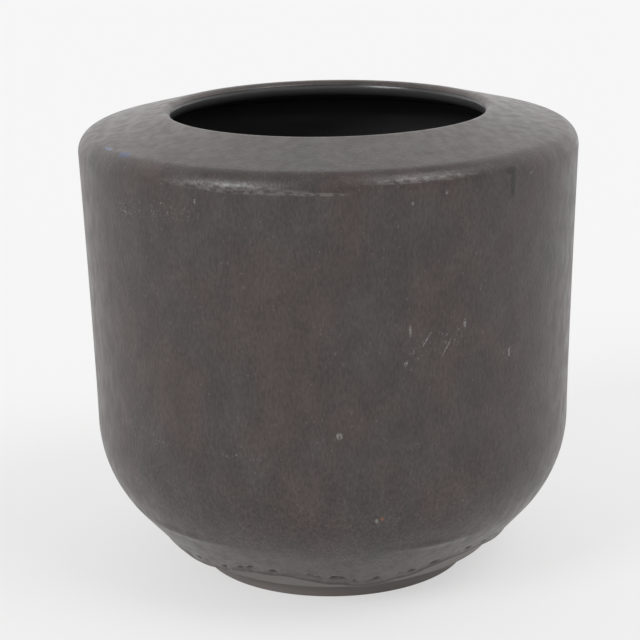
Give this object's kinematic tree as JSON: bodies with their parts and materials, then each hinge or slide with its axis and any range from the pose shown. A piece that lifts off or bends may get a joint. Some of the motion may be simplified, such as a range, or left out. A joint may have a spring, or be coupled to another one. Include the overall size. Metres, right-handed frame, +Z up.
{
  "type": "stoneware vase",
  "caption": "Thrown stoneware vase with a straight round wall, sloping shoulder, wide round mouth and bevelled base on a low foot, matt dark glaze outside and gloss black inside.",
  "frame": {"origin": "middle of the foot's resting face, on the axis of the vase", "axes": "+Z up along the axis of the vase, towards the mouth; X and Y are level and alike"},
  "size_m": [0.175, 0.175, 0.1648],
  "materials": {
    "stoneware": "bare dark stoneware, smooth and dry",
    "matt_glaze": "matt dark brown glaze with a low sheen, streaked and mottled",
    "gloss_glaze": "gloss black glaze lining"
  },
  "bodies": {
    "root": {"clay_body": "stoneware", "outer_glaze": "matt_glaze", "inner_glaze": "gloss_glaze"}
  },
  "joints": []
}
